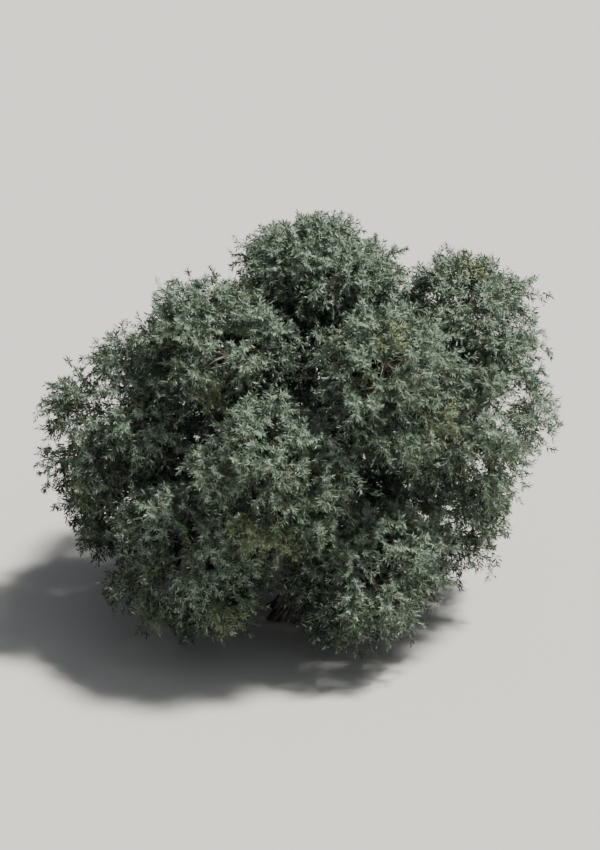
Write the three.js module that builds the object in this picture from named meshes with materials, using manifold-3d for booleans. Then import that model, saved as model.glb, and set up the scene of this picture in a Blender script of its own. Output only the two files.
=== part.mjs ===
// Olive tree grown in the open ground: a short fluted trunk with a root flare, five scaffold
// limbs, ten lighter boughs, and a broad crown of fifteen masses of leafy sprays that hangs
// almost to the ground. Millimetres, +Z up, the origin in the flat cut at ground level.
import * as THREE from 'three';
import { mergeVertices } from 'three/addons/utils/BufferGeometryUtils.js';
import Module from 'manifold-3d';

const wasm = await Module();
wasm.setup();

// The whole tree
const TREE_HEIGHT = 5700;
const CROWN_WIDTH = 7100; // along X
const CROWN_DEPTH = 6300; // along Y
const SKIRT_CLEARANCE = 330; // from the ground to the lowest leaf
const CROWN_HEART = new THREE.Vector3(60, 0, 2450); // the crown grows out from here
const SEED = 11;

// Trunk
const TRUNK = {
  waist: 205, // radius at the narrowest
  flare: 235, // what the roots add to it at the ground
  flareFall: 190, // height in which the flare falls to a third
  head: 60, // what the swelling under the fork adds
  shoulder: 780, // height where the head starts to round over
  top: 1010,
  lean: new THREE.Vector2(110, -50), // how far the fork stands from over the foot
  flutes: 5,
  fluteDepth: 0.13,
  twist: 1.3, // radians from foot to head
};

// Limbs: radii at the two ends, how steeply each sets out and how much it lifts as it arrives,
// where on its scaffold limb a bough leaves, how far in its mass it ends as a share of the way
// from the mass's middle to the edge, and how far that end may lie above the middle
const SCAFFOLD = {
  base: 108, tip: 52, outset: 95, rise: 1.15, lift: 0.1, entry: 0.8, above: -200, steps: 8, sides: 8,
};
const SKIRT_BOUGH = {
  base: 62, tip: 36, leaves: 0.3, rise: 0.25, lift: -0.35, entry: 0.62, above: 550, steps: 6, sides: 6,
};
const UPPER_BOUGH = {
  base: 66, tip: 36, leaves: 0.55, rise: 1.9, lift: 0.25, entry: 0.8, above: -200, steps: 7, sides: 6,
};
const LIMB_HANDLES = [0.4, 0.35]; // how long a limb keeps its way at each end, in its own length
const LIMB_RIPPLE = 0.05; // how much a limb's radius varies round it
const JOINT_GAP = 0.35; // left between two solids that meet
const SPACE_GAP = 30; // left between the spaces of two masses
const LIMB_CLEARANCE = 25; // kept between a limb and leaves that aren't its own
const BEAD_STEP = 45; // between the points that stand for a limb when leaves are kept clear of it

// The crown's tiers: how high and how far out the centres of its masses are, their half width
// and half height, how far the tier stands over to +X, the bearing of its first mass in degrees
// from +X towards +Y, and for each mass the number of the scaffold limb that carries it
const TIERS = [
  {
    name: 'waist', height: 2980, ring: 2160, half: 1580, rise: 1330, shift: -10, bearing: 265,
    carriers: [1, 2, 3, 4, 5],
  },
  {
    name: 'skirt', height: 1550, ring: 1900, half: 1540, rise: 1330, shift: -380, bearing: 230,
    carriers: [1, 2, 3, 4, 5],
  },
  {
    name: 'shoulder', height: 4060, ring: 1570, half: 1570, rise: 1270, shift: 520, bearing: 20,
    carriers: [3, 4, 5, 2],
  },
  {
    name: 'top', height: 4620, ring: 160, half: 1400, rise: 1000, shift: 300, bearing: 100,
    carriers: [1],
  },
];
const BEARING_JITTER = 9; // degrees either way
const HEIGHT_JITTER = 150;
const RING_JITTER = 90;
const SIZE_JITTER = 0.07;

// Inside a mass
const CORE = 0.4; // the core's reach as a share of the space's
const CORE_RIPPLE = 0.2;
const STEM = { base: 0.94, tip: 14, handle: 0.45, sides: 6, steps: 3 }; // base in bough tip radii
const TWIGS = 10;
const SPRAYS = 3 * TWIGS; // one at each twig's tip, and two beside it
const CAP = 2.3; // how far round from straight outwards they spread, in radians
const SWERVE = 0.25; // how far a way out is turned from its place on the spiral, in radians
// A twig stops short of the space's edge by `short` sprays, and is at least `least` of the way.
// Side sprays leave it at `shares`, and the end one is sunk `sink` into its tip.
const TWIG = { base: 30, tip: 20, short: 0.95, least: 0.35, sink: 22, shares: [0.74, 0.81, 0.88, 0.94] };
// A spray: its length, how much that varies, how far it may be drawn out or shortened, its width
// and depth and where it is widest as shares of its length, and how far it hangs
const SPRAY = {
  length: 790,
  varies: 0.12,
  most: 1.2,
  least: 0.5,
  shorten: 0.12,
  width: 0.7,
  depth: 0.46,
  widest: 0.64,
  droop: 0.35,
  root: 5, // how far past its twig's middle it starts
};
const EDGE = { reach: 0.99, varies: 0.08 }; // how near the space's edge the sprays end

const GOLDEN_ANGLE = Math.PI * (3 - Math.sqrt(5));
const UP = new THREE.Vector3(0, 0, 1);

// A seeded number from 0 to 1 for a row of whole-number keys.
function chance(...keys) {
  const strides = [12.9898, 78.233, 37.719, 93.989];
  const wave = Math.sin(keys.reduce((sum, key, i) => sum + key * strides[i], SEED)) * 43758.5453;
  return wave - Math.floor(wave);
}

// A seeded number from -1 to 1.
const either = (...keys) => 2 * chance(...keys) - 1;

// A geometry whose shared corners are one vertex, as the solids need.
function welded(geometry) {
  geometry.deleteAttribute('normal');
  geometry.deleteAttribute('uv');
  return mergeVertices(geometry, 1e-4);
}

// The geometry with every vertex moved by place(x, y, z).
function moved(geometry, place) {
  const position = geometry.getAttribute('position');
  const corner = new THREE.Vector3();
  for (let i = 0; i < position.count; i += 1) {
    corner.fromBufferAttribute(position, i);
    const to = place(corner.x, corner.y, corner.z);
    position.setXYZ(i, to.x, to.y, to.z);
  }
  return geometry;
}

function solidOf(geometry) {
  return new wasm.Manifold(
    new wasm.Mesh({
      numProp: 3,
      vertProperties: geometry.getAttribute('position').array,
      triVerts: new Uint32Array(geometry.index.array),
    }),
  );
}

function geometryOf(solid) {
  const { vertProperties, triVerts } = solid.getMesh();
  const geometry = new THREE.BufferGeometry();
  geometry.setAttribute('position', new THREE.BufferAttribute(vertProperties, 3));
  geometry.setIndex(new THREE.BufferAttribute(triVerts, 1));
  geometry.computeVertexNormals();
  return geometry;
}

// Whether every edge of a solid has just two faces once corners within a thousandth of a
// millimetre are one, so that the surface nowhere touches itself.
function isSimple(solid) {
  const { vertProperties, triVerts } = solid.getMesh();
  const numbers = new Map();
  const corners = [];
  for (let v = 0; v < vertProperties.length; v += 3) {
    const key = [0, 1, 2].map((axis) => Math.round(1000 * vertProperties[v + axis])).join();
    if (!numbers.has(key)) numbers.set(key, numbers.size);
    corners.push(numbers.get(key));
  }
  const faces = new Map();
  for (let i = 0; i < triVerts.length; i += 1) {
    const next = i % 3 === 2 ? i - 2 : i + 1;
    const [a, b] = [corners[triVerts[i]], corners[triVerts[next]]].sort((p, q) => p - q);
    const edge = a * numbers.size + b;
    faces.set(edge, (faces.get(edge) ?? 0) + 1);
  }
  return [...faces.values()].every((count) => count === 2);
}

// Two solids as one, or the first alone where they would meet in a doubled edge.
function fused(solid, addition) {
  const both = solid.add(addition);
  return isSimple(both) ? both : solid;
}

// Of a solid that a cut has left in several pieces, the largest.
function largest(solid) {
  return solid.decompose().reduce((best, piece) => (piece.volume() > best.volume() ? piece : best));
}

// A cylinder bent along a curve, with radiusAt(share of the way, angle round it) from its axis.
function bent(curve, sides, steps, radiusAt) {
  const { tangents, normals } = curve.computeFrenetFrames(steps, false);
  const points = curve.getSpacedPoints(steps);
  return moved(welded(new THREE.CylinderGeometry(1, 1, 1, sides, steps)), (x, y, z) => {
    const ring = Math.round((y + 0.5) * steps);
    const across = new THREE.Vector3().crossVectors(normals[ring], tangents[ring]);
    const radius = Math.hypot(x, z) < 0.5 ? 0 : radiusAt(ring / steps, Math.atan2(z, x));
    return points[ring]
      .clone()
      .addScaledVector(normals[ring], x * radius)
      .addScaledVector(across, z * radius);
  });
}

// Trunk

// The middle of the trunk at a height.
function trunkAxis(height) {
  const share = Math.min(height / TRUNK.top, 1);
  const eased = share * share * (3 - 2 * share);
  return new THREE.Vector3(TRUNK.lean.x * eased, TRUNK.lean.y * eased, height);
}

// The trunk's radius: root flare at the foot, waist, a swelling under the fork, a rounded head.
function trunkRadius(height, angle) {
  const share = height / TRUNK.top;
  const flare = TRUNK.flare * Math.exp(-height / TRUNK.flareFall);
  const swelling = TRUNK.head * share ** 2;
  const flute = TRUNK.fluteDepth * (0.45 + 0.9 * Math.exp(-height / (2 * TRUNK.flareFall)));
  const turn = TRUNK.flutes * angle + TRUNK.twist * share * 2 + 0.7 * Math.sin(2 * angle + share);
  const over = Math.max(0, (height - TRUNK.shoulder) / (TRUNK.top - TRUNK.shoulder));
  const round = Math.sqrt(Math.max(0.03, 1 - over * over));
  return (TRUNK.waist + flare + swelling) * (1 + flute * Math.cos(turn)) * round;
}

function trunkGeometry(grown = 0) {
  const sides = 22;
  const levels = [0, 55, 130, 240, 390, 560, TRUNK.shoulder, 870, 940, 985, TRUNK.top];
  const steps = levels.length - 1;
  return moved(welded(new THREE.CylinderGeometry(1, 1, 1, sides, steps)), (x, y, z) => {
    const height = levels[Math.round((y + 0.5) * steps)];
    const angle = Math.atan2(-z, x);
    const radius = Math.hypot(x, z) < 0.5 ? 0 : trunkRadius(height, angle) + grown;
    const rise = height === TRUNK.top ? grown : 0;
    return trunkAxis(height).add(
      new THREE.Vector3(radius * Math.cos(angle), radius * Math.sin(angle), rise),
    );
  });
}

// Masses of foliage: each is an ellipsoid, cut flat where it would enter its neighbour's.

function massesOfCrown() {
  const masses = [];
  TIERS.forEach((tier, t) => {
    tier.carriers.forEach((carrier, i) => {
      const bearing = THREE.MathUtils.degToRad(
        tier.bearing + (360 / tier.carriers.length) * i + BEARING_JITTER * either(t, i, 1),
      );
      const ring = tier.ring + RING_JITTER * either(t, i, 2);
      const size = 1 + SIZE_JITTER * either(t, i, 3);
      masses.push({
        tier: tier.name,
        number: i + 1,
        carrier,
        seed: 10 * t + i,
        bearing,
        centre: new THREE.Vector3(
          tier.shift + ring * Math.cos(bearing),
          ring * Math.sin(bearing) * (CROWN_DEPTH / CROWN_WIDTH),
          tier.height + HEIGHT_JITTER * either(t, i, 4),
        ),
        half: new THREE.Vector3(tier.half, tier.half * (CROWN_DEPTH / CROWN_WIDTH), tier.rise)
          .multiplyScalar(size),
      });
    });
  });
  for (const mass of masses) mass.walls = wallsOf(mass, masses);
  return masses;
}

// How far a mass's ellipsoid reaches from its centre in a direction.
const ellipsoidReach = (mass, way) => 1 / way.clone().divide(mass.half).length();

// The planes round a mass's space, each a direction and a distance from its centre: towards
// each neighbour, and the crown's own top, bottom and sides.
function wallsOf(mass, masses) {
  const walls = masses
    .filter((other) => other !== mass)
    .map((other) => {
      const way = other.centre.clone().sub(mass.centre);
      const apart = way.length();
      way.normalize();
      const mine = ellipsoidReach(mass, way);
      const theirs = ellipsoidReach(other, way);
      return { way, distance: (apart * mine) / (mine + theirs) - SPACE_GAP / 2 };
    });
  const { x, y, z } = mass.centre;
  return walls.concat([
    { way: new THREE.Vector3(1, 0, 0), distance: CROWN_WIDTH / 2 - x },
    { way: new THREE.Vector3(-1, 0, 0), distance: CROWN_WIDTH / 2 + x },
    { way: new THREE.Vector3(0, 1, 0), distance: CROWN_DEPTH / 2 - y },
    { way: new THREE.Vector3(0, -1, 0), distance: CROWN_DEPTH / 2 + y },
    { way: new THREE.Vector3(0, 0, 1), distance: TREE_HEIGHT - z },
    { way: new THREE.Vector3(0, 0, -1), distance: z - SKIRT_CLEARANCE },
  ]);
}

// How far a mass's space reaches from its centre in a direction.
function reach(mass, way) {
  return mass.walls.reduce((least, wall) => {
    const along = wall.way.dot(way);
    return along > 1e-6 ? Math.min(least, wall.distance / along) : least;
  }, ellipsoidReach(mass, way));
}

function isInside(mass, point) {
  const from = point.clone().sub(mass.centre);
  if (from.clone().divide(mass.half).length() > 1) return false;
  return mass.walls.every((wall) => wall.way.dot(from) <= wall.distance);
}

// Limbs: each scaffold runs from the trunk's head to a mass at the waist, and carries a bough
// down to the skirt and one up to a shoulder or the top.

// Where a bough comes into a mass: on the side that faces the crown's heart.
function entryOf(mass, form) {
  const inward = CROWN_HEART.clone().sub(mass.centre);
  inward.z = Math.min(inward.z, form.above);
  inward.normalize();
  return mass.centre.clone().addScaledVector(inward, form.entry * reach(mass, inward));
}

// A limb from a point to its mass: it sets out along one way and arrives along another.
function limbTo(mass, from, outward, form, name) {
  const entry = entryOf(mass, form);
  const arrive = mass.centre.clone().sub(entry).normalize();
  arrive.z += form.lift;
  const length = from.distanceTo(entry);
  const curve = new THREE.CubicBezierCurve3(
    from,
    from.clone().addScaledVector(outward.clone().normalize(), LIMB_HANDLES[0] * length),
    entry.clone().addScaledVector(arrive.normalize(), -LIMB_HANDLES[1] * length),
    entry,
  );
  const radiusAt = (share) => form.tip + (form.base - form.tip) * (1 - share) ** 1.25;
  const ripple = (share, angle) => 1 + LIMB_RIPPLE * Math.cos(2 * angle + 5 * share + mass.seed);
  const shape = (grown) => {
    const skin = (share, angle) => radiusAt(share) * ripple(share, angle) + grown;
    return bent(curve, form.sides, form.steps, skin);
  };
  return { name, mass, curve, radiusAt, shape };
}

function limbsOfCrown(masses) {
  const scaffolds = masses.filter((mass) => mass.tier === 'waist').map((mass) => {
    const out = new THREE.Vector3(Math.cos(mass.bearing), Math.sin(mass.bearing), 0);
    const from = trunkAxis(TRUNK.shoulder).addScaledVector(out, SCAFFOLD.outset);
    const outward = out.clone().addScaledVector(UP, SCAFFOLD.rise);
    return limbTo(mass, from, outward, SCAFFOLD, `scaffold_limb_${mass.number}`);
  });
  const boughs = masses.filter((mass) => mass.tier !== 'waist').map((mass) => {
    const form = mass.tier === 'skirt' ? SKIRT_BOUGH : UPPER_BOUGH;
    const parent = scaffolds[mass.carrier - 1];
    const from = parent.curve.getPointAt(form.leaves);
    const out = mass.centre.clone().sub(from).setZ(0).normalize();
    const name = mass.tier === 'top' ? 'top_bough' : `${mass.tier}_bough_${mass.number}`;
    return { ...limbTo(mass, from, out.addScaledVector(UP, form.rise), form, name), parent };
  });
  return [...scaffolds, ...boughs];
}

// Each limb as a solid, cut clear of the trunk and of every limb made before it.
function limbSolids(limbs) {
  const trunk = solidOf(trunkGeometry(JOINT_GAP));
  const before = [trunk];
  return limbs.map((limb) => {
    let solid = solidOf(limb.shape(0));
    for (const other of before) solid = largest(solid.subtract(other));
    before.push(solidOf(limb.shape(JOINT_GAP)));
    return solid;
  });
}

// Points along the middle of each limb, with its radius there, to keep leaves clear of it.
function limbBeads(limbs) {
  const beads = [];
  for (let height = 0; height <= TRUNK.top; height += BEAD_STEP) {
    beads.push({ at: trunkAxis(height), radius: trunkRadius(height, 0) * (1 + TRUNK.fluteDepth) });
  }
  for (const limb of limbs) {
    const count = Math.ceil(limb.curve.getLength() / BEAD_STEP);
    limb.curve.getSpacedPoints(count).forEach((at, i) => {
      beads.push({ at, radius: limb.radiusAt(i / count) * (1 + LIMB_RIPPLE) });
    });
  }
  return beads;
}

function isClear(beads, from, to, halfWidth) {
  const line = new THREE.Line3(from, to);
  const near = new THREE.Vector3();
  return beads.every(({ at, radius }) => {
    line.closestPointToPoint(at, true, near);
    return near.distanceTo(at) > radius + halfWidth + LIMB_CLEARANCE;
  });
}

// Foliage

// Ways out from a mass's middle, spread evenly over a cap round the one that faces out of the
// crown: a golden-angle spiral, each way a little off its place.
function waysOut(mass) {
  const outward = mass.centre.clone().sub(CROWN_HEART).normalize();
  const turn = new THREE.Quaternion().setFromUnitVectors(UP, outward);
  const ways = [];
  for (let i = 0; i < SPRAYS; i += 1) {
    const high = 1 - ((i + 0.5) / SPRAYS) * (1 - Math.cos(CAP));
    const side = Math.sqrt(1 - high * high);
    const round = i * GOLDEN_ANGLE + SWERVE * either(mass.seed, i, 5);
    const way = new THREE.Vector3(side * Math.cos(round), side * Math.sin(round), high);
    ways.push(way.applyQuaternion(turn));
  }
  return ways;
}

// The twigs of a mass, by the rule of growth: each goes straight out from the stem's end along
// every third way, and stops a spray's length short of the space's edge.
function twigsOf(mass, ways) {
  return ways.filter((way, i) => i % 3 === 1).map((way) => {
    const room = reach(mass, way);
    const length = Math.max(room - TWIG.short * SPRAY.length, TWIG.least * room);
    return new THREE.LineCurve3(mass.centre, mass.centre.clone().addScaledVector(way, length));
  });
}

// The sprays of a mass: one for each way out, from a twig to the edge of the space. Every third
// goes on from its own twig's tip, and the others leave the twig that lets them hang best.
function spraysOf(mass, ways, twigs) {
  const sideRoots = twigs.flatMap((twig) => TWIG.shares.map((share) => twig.getPoint(share)));
  return ways.map((way, i) => {
    const out = reach(mass, way) * (EDGE.reach - EDGE.varies * chance(mass.seed, i, 6));
    const edge = mass.centre.clone().addScaledVector(way, out);
    const length = SPRAY.length * (1 + SPRAY.varies * either(mass.seed, i, 8));
    const wished = edge.clone().addScaledVector(way, -length).addScaledVector(UP, SPRAY.droop * length);
    const apart = (at) => at.distanceTo(wished);
    const nearest = sideRoots.reduce((best, at) => (apart(at) < apart(best) ? at : best));
    const root = i % 3 === 1 ? twigs[(i - 1) / 3].v2.clone().addScaledVector(way, -TWIG.sink) : nearest;
    const along = edge.clone().sub(root);
    return {
      root,
      way: along.clone().normalize(),
      length: Math.min(along.length(), SPRAY.most * length),
      roll: Math.PI * chance(mass.seed, i, 7),
    };
  });
}

// The three corners round a spray at its widest.
function rimOf({ root, way, length, roll }) {
  const edge = new THREE.Vector3().crossVectors(way, UP).normalize().applyAxisAngle(way, roll);
  const face = new THREE.Vector3().crossVectors(way, edge);
  const middle = root.clone().addScaledVector(way, SPRAY.widest * length);
  return [0, 1, 2].map((corner) => {
    const angle = (2 * Math.PI * corner) / 3;
    return middle
      .clone()
      .addScaledVector(edge, 0.5 * SPRAY.width * length * Math.cos(angle))
      .addScaledVector(face, 0.5 * SPRAY.depth * length * Math.sin(angle));
  });
}

// A spray shortened until it keeps to its mass's space and clear of the limbs, or nothing.
function fitted(mass, spray, beads) {
  for (let share = 1; share >= SPRAY.least; share -= SPRAY.shorten) {
    const shorter = { ...spray, length: spray.length * share };
    const tip = spray.root.clone().addScaledVector(spray.way, shorter.length);
    const halfWidth = 0.5 * SPRAY.width * shorter.length;
    const isClearOfLimbs = isClear(beads, spray.root, tip, halfWidth);
    if (isClearOfLimbs && [tip, ...rimOf(shorter)].every((at) => isInside(mass, at))) return shorter;
  }
  return null;
}

// A spray's body: two three-sided points foot to foot, the one at the root drawn out longer.
function sprayGeometry(spray) {
  const ring = [0, 1, 2].flatMap((corner) => {
    const angle = (2 * Math.PI * corner) / 3;
    return [Math.cos(angle), Math.sin(angle), 0];
  });
  const faces = [0, 2, 3, 0, 3, 4, 0, 4, 2, 1, 3, 2, 1, 4, 3, 1, 2, 4];
  const rim = rimOf(spray);
  const lens = new THREE.PolyhedronGeometry([0, 0, 1, 0, 0, -1, ...ring], faces, 1, 0);
  return moved(welded(lens), (x, y, z) => {
    if (z > 0.5) return spray.root.clone().addScaledVector(spray.way, spray.length);
    if (z < -0.5) return spray.root.clone().addScaledVector(spray.way, -SPRAY.root);
    return rim[x > 0.5 ? 0 : y > 0 ? 1 : 2];
  });
}

// The core: a lumpy ball that follows the space at a share of its reach.
function coreGeometry(mass) {
  return moved(welded(new THREE.IcosahedronGeometry(1, 0)), (x, y, z) => {
    const way = new THREE.Vector3(x, y, z).normalize();
    const corner = [x, y, z].map((place) => Math.round(9 * place));
    const ripple = CORE_RIPPLE * either(mass.seed, ...corner);
    return mass.centre.clone().addScaledVector(way, reach(mass, way) * CORE * (1 + ripple));
  });
}

// The stem that carries on from a bough's tip to the middle of its mass.
function stemGeometry(mass, limb) {
  const along = limb.curve.getTangent(1);
  const start = limb.curve.getPoint(1).addScaledVector(along, JOINT_GAP);
  const lift = start.clone().addScaledVector(along, STEM.handle * start.distanceTo(mass.centre));
  const curve = new THREE.QuadraticBezierCurve3(start, lift, mass.centre);
  const base = limb.radiusAt(1) * STEM.base;
  return bent(curve, STEM.sides, STEM.steps, (share) => base + (STEM.tip - base) * share);
}

function foliageSolid(mass, limb, limbs, beads) {
  let core = solidOf(coreGeometry(mass));
  for (const other of limbs) {
    if (other !== limb) core = core.subtract(solidOf(other.shape(LIMB_CLEARANCE)));
  }
  let foliage = largest(core).add(solidOf(stemGeometry(mass, limb)));
  const ways = waysOut(mass);
  const twigs = twigsOf(mass, ways);
  for (const twig of twigs) {
    if (!isClear(beads, mass.centre, twig.v2, TWIG.base)) continue;
    const radiusAt = (share) => TWIG.base + (TWIG.tip - TWIG.base) * share;
    foliage = fused(foliage, solidOf(bent(twig, 3, 1, radiusAt)));
  }
  for (const spray of spraysOf(mass, ways, twigs)) {
    const lens = fitted(mass, spray, beads);
    if (lens) foliage = fused(foliage, solidOf(sprayGeometry(lens)));
  }
  return largest(foliage);
}

// The tree

const BARK = new THREE.MeshStandardMaterial({ color: 0x6f675b, roughness: 0.92, metalness: 0 });
const YOUNG_BARK = new THREE.MeshStandardMaterial({ color: 0x857f73, roughness: 0.85, metalness: 0 });
const LEAVES = new THREE.MeshStandardMaterial({ color: 0x7b8468, roughness: 0.6, metalness: 0 });

const tree = new THREE.Group();

function addPiece(name, geometry, material) {
  const mesh = new THREE.Mesh(geometry, material);
  mesh.name = name;
  tree.add(mesh);
}

const masses = massesOfCrown();
const limbs = limbsOfCrown(masses);
const beads = limbBeads(limbs);

addPiece('trunk', geometryOf(solidOf(trunkGeometry())), BARK);
limbSolids(limbs).forEach((solid, i) => {
  addPiece(limbs[i].name, geometryOf(solid), limbs[i].parent ? YOUNG_BARK : BARK);
});
for (const limb of limbs) {
  const { mass } = limb;
  const name = mass.tier === 'top' ? 'top_foliage' : `${mass.tier}_foliage_${mass.number}`;
  addPiece(name, geometryOf(foliageSolid(mass, limb, limbs, beads)), LEAVES);
}

export default tree;
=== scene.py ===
"""The looks of an olive tree grown in the open ground: bark with its relief, twigs and leaves.

Metres, +Z up. The limbs and masses are worked out by the same rule as the solids, and each spray
of a mass becomes a plume of shoots, side twigs and pairs of leaves about the same line.
"""

import math

import bpy
import numpy as np
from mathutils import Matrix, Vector


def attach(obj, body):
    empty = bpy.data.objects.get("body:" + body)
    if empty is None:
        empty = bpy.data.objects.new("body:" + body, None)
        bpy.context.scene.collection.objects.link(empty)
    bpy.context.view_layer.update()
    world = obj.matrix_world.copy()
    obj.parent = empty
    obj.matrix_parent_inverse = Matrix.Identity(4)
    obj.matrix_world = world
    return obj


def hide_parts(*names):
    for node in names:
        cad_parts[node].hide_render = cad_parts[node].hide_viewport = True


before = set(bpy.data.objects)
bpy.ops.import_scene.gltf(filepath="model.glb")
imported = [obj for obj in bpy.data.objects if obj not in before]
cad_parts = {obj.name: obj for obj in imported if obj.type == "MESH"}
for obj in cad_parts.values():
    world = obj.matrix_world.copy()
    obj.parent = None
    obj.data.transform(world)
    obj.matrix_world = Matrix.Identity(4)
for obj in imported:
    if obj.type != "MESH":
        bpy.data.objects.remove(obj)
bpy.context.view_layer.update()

# The whole tree
TREE_HEIGHT = 5.7
CROWN_WIDTH = 7.1
CROWN_DEPTH = 6.3
SKIRT_CLEARANCE = 0.33
CROWN_HEART = np.array([0.06, 0.0, 2.45])
SEED = 11
UP = np.array([0.0, 0.0, 1.0])
GOLDEN_ANGLE = math.pi * (3 - math.sqrt(5))

# Trunk
TRUNK = {
    "waist": 0.205,
    "flare": 0.235,
    "flare_fall": 0.19,
    "head": 0.06,
    "shoulder": 0.78,
    "top": 1.01,
    "lean": (0.11, -0.05),
    "flutes": 5,
    "flute_depth": 0.13,
    "twist": 1.3,
}

# Limbs, and the crown's tiers of masses
SCAFFOLD = {
    "base": 0.108, "tip": 0.052, "outset": 0.095, "rise": 1.15, "lift": 0.1,
    "entry": 0.8, "above": -0.2,
}
SKIRT_BOUGH = {
    "base": 0.062, "tip": 0.036, "leaves": 0.3, "rise": 0.25, "lift": -0.35,
    "entry": 0.62, "above": 0.55,
}
UPPER_BOUGH = {
    "base": 0.066, "tip": 0.036, "leaves": 0.55, "rise": 1.9, "lift": 0.25,
    "entry": 0.8, "above": -0.2,
}
LIMB_HANDLES = (0.4, 0.35)
LIMB_RIPPLE = 0.05
SPACE_GAP = 0.03
LIMB_CLEARANCE = 0.025
BEAD_STEP = 0.045
TIERS = (
    {
        "name": "waist", "height": 2.98, "ring": 2.16, "half": 1.58, "rise": 1.33, "shift": -0.01,
        "bearing": 265, "carriers": (1, 2, 3, 4, 5),
    },
    {
        "name": "skirt", "height": 1.55, "ring": 1.9, "half": 1.54, "rise": 1.33, "shift": -0.38,
        "bearing": 230, "carriers": (1, 2, 3, 4, 5),
    },
    {
        "name": "shoulder", "height": 4.06, "ring": 1.57, "half": 1.57, "rise": 1.27, "shift": 0.52,
        "bearing": 20, "carriers": (3, 4, 5, 2),
    },
    {
        "name": "top", "height": 4.62, "ring": 0.16, "half": 1.4, "rise": 1.0, "shift": 0.3,
        "bearing": 100, "carriers": (1,),
    },
)
BEARING_JITTER = 9
HEIGHT_JITTER = 0.15
RING_JITTER = 0.09
SIZE_JITTER = 0.07

# Inside a mass
STEM = {"base": 0.94, "tip": 0.014, "handle": 0.45}
TWIGS = 10
SPRAYS = 3 * TWIGS
CAP = 2.3
SWERVE = 0.25
TWIG = {"base": 0.022, "tip": 0.009, "short": 0.95, "least": 0.35, "sink": 0.022, "sway": 0.08}
TWIG_SHARES = np.array([0.74, 0.81, 0.88, 0.94])
SPRAY = {
    "length": 0.79, "varies": 0.12, "most": 1.2, "width": 0.7, "depth": 0.46, "widest": 0.64,
    "droop": 0.35,
}
SPRAY_FITS = (1.0, 0.88, 0.76, 0.64, 0.52)
EDGE = {"reach": 0.99, "varies": 0.08}

# Finer growth: more sprays between the outer ones, inside each mass and along the limbs, and in
# every spray shoots that end on a dome, with side twigs and pairs of leaves
INNER_SPRAYS = 34
INNER_SHARES = np.array([0.2, 0.35, 0.5, 0.65])
INNER_EDGE = {"reach": 1.0, "varies": 0.24, "root": 0.35}
LIMB_SPRAY = {
    "from": 0.34, "apart": 0.13, "length": 0.7, "varies": 0.15, "along": 0.4, "rise": 0.3,
    "clear": 0.45,
}
LIMB_SEED = 45  # the limbs' sprays have the seeds from here up, and the masses' the lower ones
OUTER_GROWTH = {"shoots": 8, "sides": 6, "shoot_pairs": 14, "side_pairs": 6, "leafy": 0.3, "leaf": 1.05}
INNER_GROWTH = {"shoots": 4, "sides": 4, "shoot_pairs": 10, "side_pairs": 5, "leafy": 0.2, "leaf": 1.35}
SHOOT = {
    "base": 0.005, "tip": 0.002, "parts": 0.1, "last": 0.42, "swerve": 0.5, "arch": 0.09,
    "ahead": 0.12, "droop": 0.07,
}
SHOOT_RINGS = np.array([0, 0.45, 1])
SHOOT_KEYS = 10  # a shoot's key is its spray's times this, and its own number
DOME = {"middle": 0.54, "size": 0.45, "cap": 1.6, "varies": 0.12}
SIDE_TWIG = {
    "length": 0.15, "at_foot": 1.15, "shorter": 0.5, "full_on": 0.45, "radius": 0.0024, "lean": 0.85,
    "rise": 0.1, "droop": 0.03, "last": 0.94, "bare": 0.15,
}
# the leaves on the foot share of each twig are painted one tone deeper, as shade
LEAF = {
    "length": 0.082, "on_shoots": 1.05, "smaller": 0.25, "varies": 0.2, "width": 0.0205,
    "fold": 0.22, "lean": 0.9, "hang": 0.16, "face_up": 0.35, "roll": 0.5, "foot": 0.25,
}
UNDERSIDES = 0.16  # share of the outer sprays' leaves that show their silvery underside
LEAVES_A_PIECE = 96000

# Bark: the width of a plate, the height of the burrs, and the meshes of trunk and limbs
BARK = {"plate": 0.042, "burr": 0.02}
TRUNK_MESH = {"rings": 200, "sides": 280, "relief": 0.016}
SCAFFOLD_MESH = {"step": 0.013, "sides": 64, "relief": 0.009, "collar": 0.05}
BOUGH_MESH = {"step": 0.017, "sides": 32, "relief": 0.004, "collar": 0.022}


def chance(*keys):
    """A seeded number from 0 to 1 for a row of whole-number keys: the fraction of a large sine."""
    total = np.asarray(float(SEED))
    for key, stride in zip(keys, (12.9898, 78.233, 37.719, 93.989)):
        total = total + np.asarray(key, float) * stride
    wave = np.sin(total) * 43758.5453
    return wave - np.floor(wave)


def either(*keys):
    """A seeded number from -1 to 1."""
    return 2 * chance(*keys) - 1


def unit(vectors):
    """Each vector over its own length."""
    vectors = np.asarray(vectors, float)
    return vectors / np.maximum(np.linalg.norm(vectors, axis=-1, keepdims=True), 1e-12)


def side_of(ways):
    """A level unit vector across each way: way x up, or +X where the way is upright."""
    across = np.cross(ways, UP)
    upright = np.linalg.norm(across, axis=-1, keepdims=True) < 1e-6
    return unit(np.where(upright, np.array([1.0, 0.0, 0.0]), across))


def turned(vectors, axes, angles):
    """Vectors turned about unit axes k by angles a: v cos a + (k x v) sin a + k (k . v)(1 - cos a)."""
    angles = np.asarray(angles)[..., None]
    along = np.sum(axes * vectors, axis=-1, keepdims=True)
    round_it = vectors * np.cos(angles) + np.cross(axes, vectors) * np.sin(angles)
    return round_it + axes * along * (1 - np.cos(angles))


def bezier(points, shares):
    """Points of a curve of any order n: its corners, each weighted C(n, i) s^i (1 - s)^(n - i)."""
    points = np.asarray(points, float)
    order = len(points) - 1
    shares = np.asarray(shares, float)[:, None]
    weights = [math.comb(order, i) * shares**i * (1 - shares) ** (order - i) for i in range(order + 1)]
    return sum(w * p for w, p in zip(weights, points))


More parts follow.
